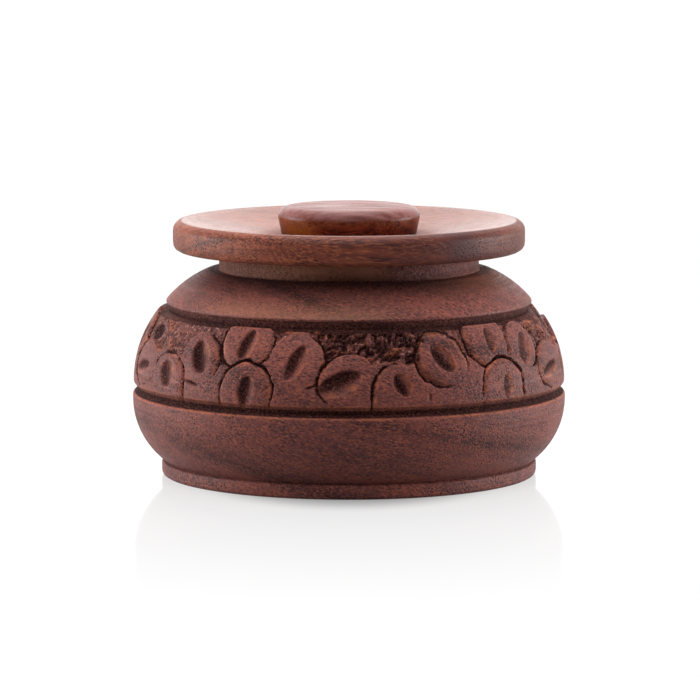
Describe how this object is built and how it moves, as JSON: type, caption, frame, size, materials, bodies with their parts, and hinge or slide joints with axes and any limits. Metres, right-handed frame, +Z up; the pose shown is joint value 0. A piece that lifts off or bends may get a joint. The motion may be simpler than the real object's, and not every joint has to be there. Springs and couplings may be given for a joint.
{
  "type": "kumkum box",
  "caption": "Round lathe-turned wooden box for kumkum powder: footed bowl with a carved leaf band, short neck, and a dished lift-off lid with a flared knob.",
  "frame": {"origin": "centre of the foot's flat underside", "axes": "+Z up along the turning axis, -Y towards the viewer of the picture, +X to the viewer's right"},
  "size_m": [0.055, 0.055, 0.0342],
  "materials": {
    "bowl_wood": "satin oiled dark rosewood",
    "lid_wood": "satin oiled dark rosewood",
    "knob_wood": "polished dark rosewood"
  },
  "bodies": {
    "bowl": {"bowl": "bowl_wood"},
    "lid": {"lid": "lid_wood", "knob": "knob_wood"}
  },
  "joints": [
    {"name": "lid_lift", "type": "slide", "parent": "bowl", "child": "lid", "axis": [0, 0, 1], "range_m": [0, 0.04]}
  ]
}
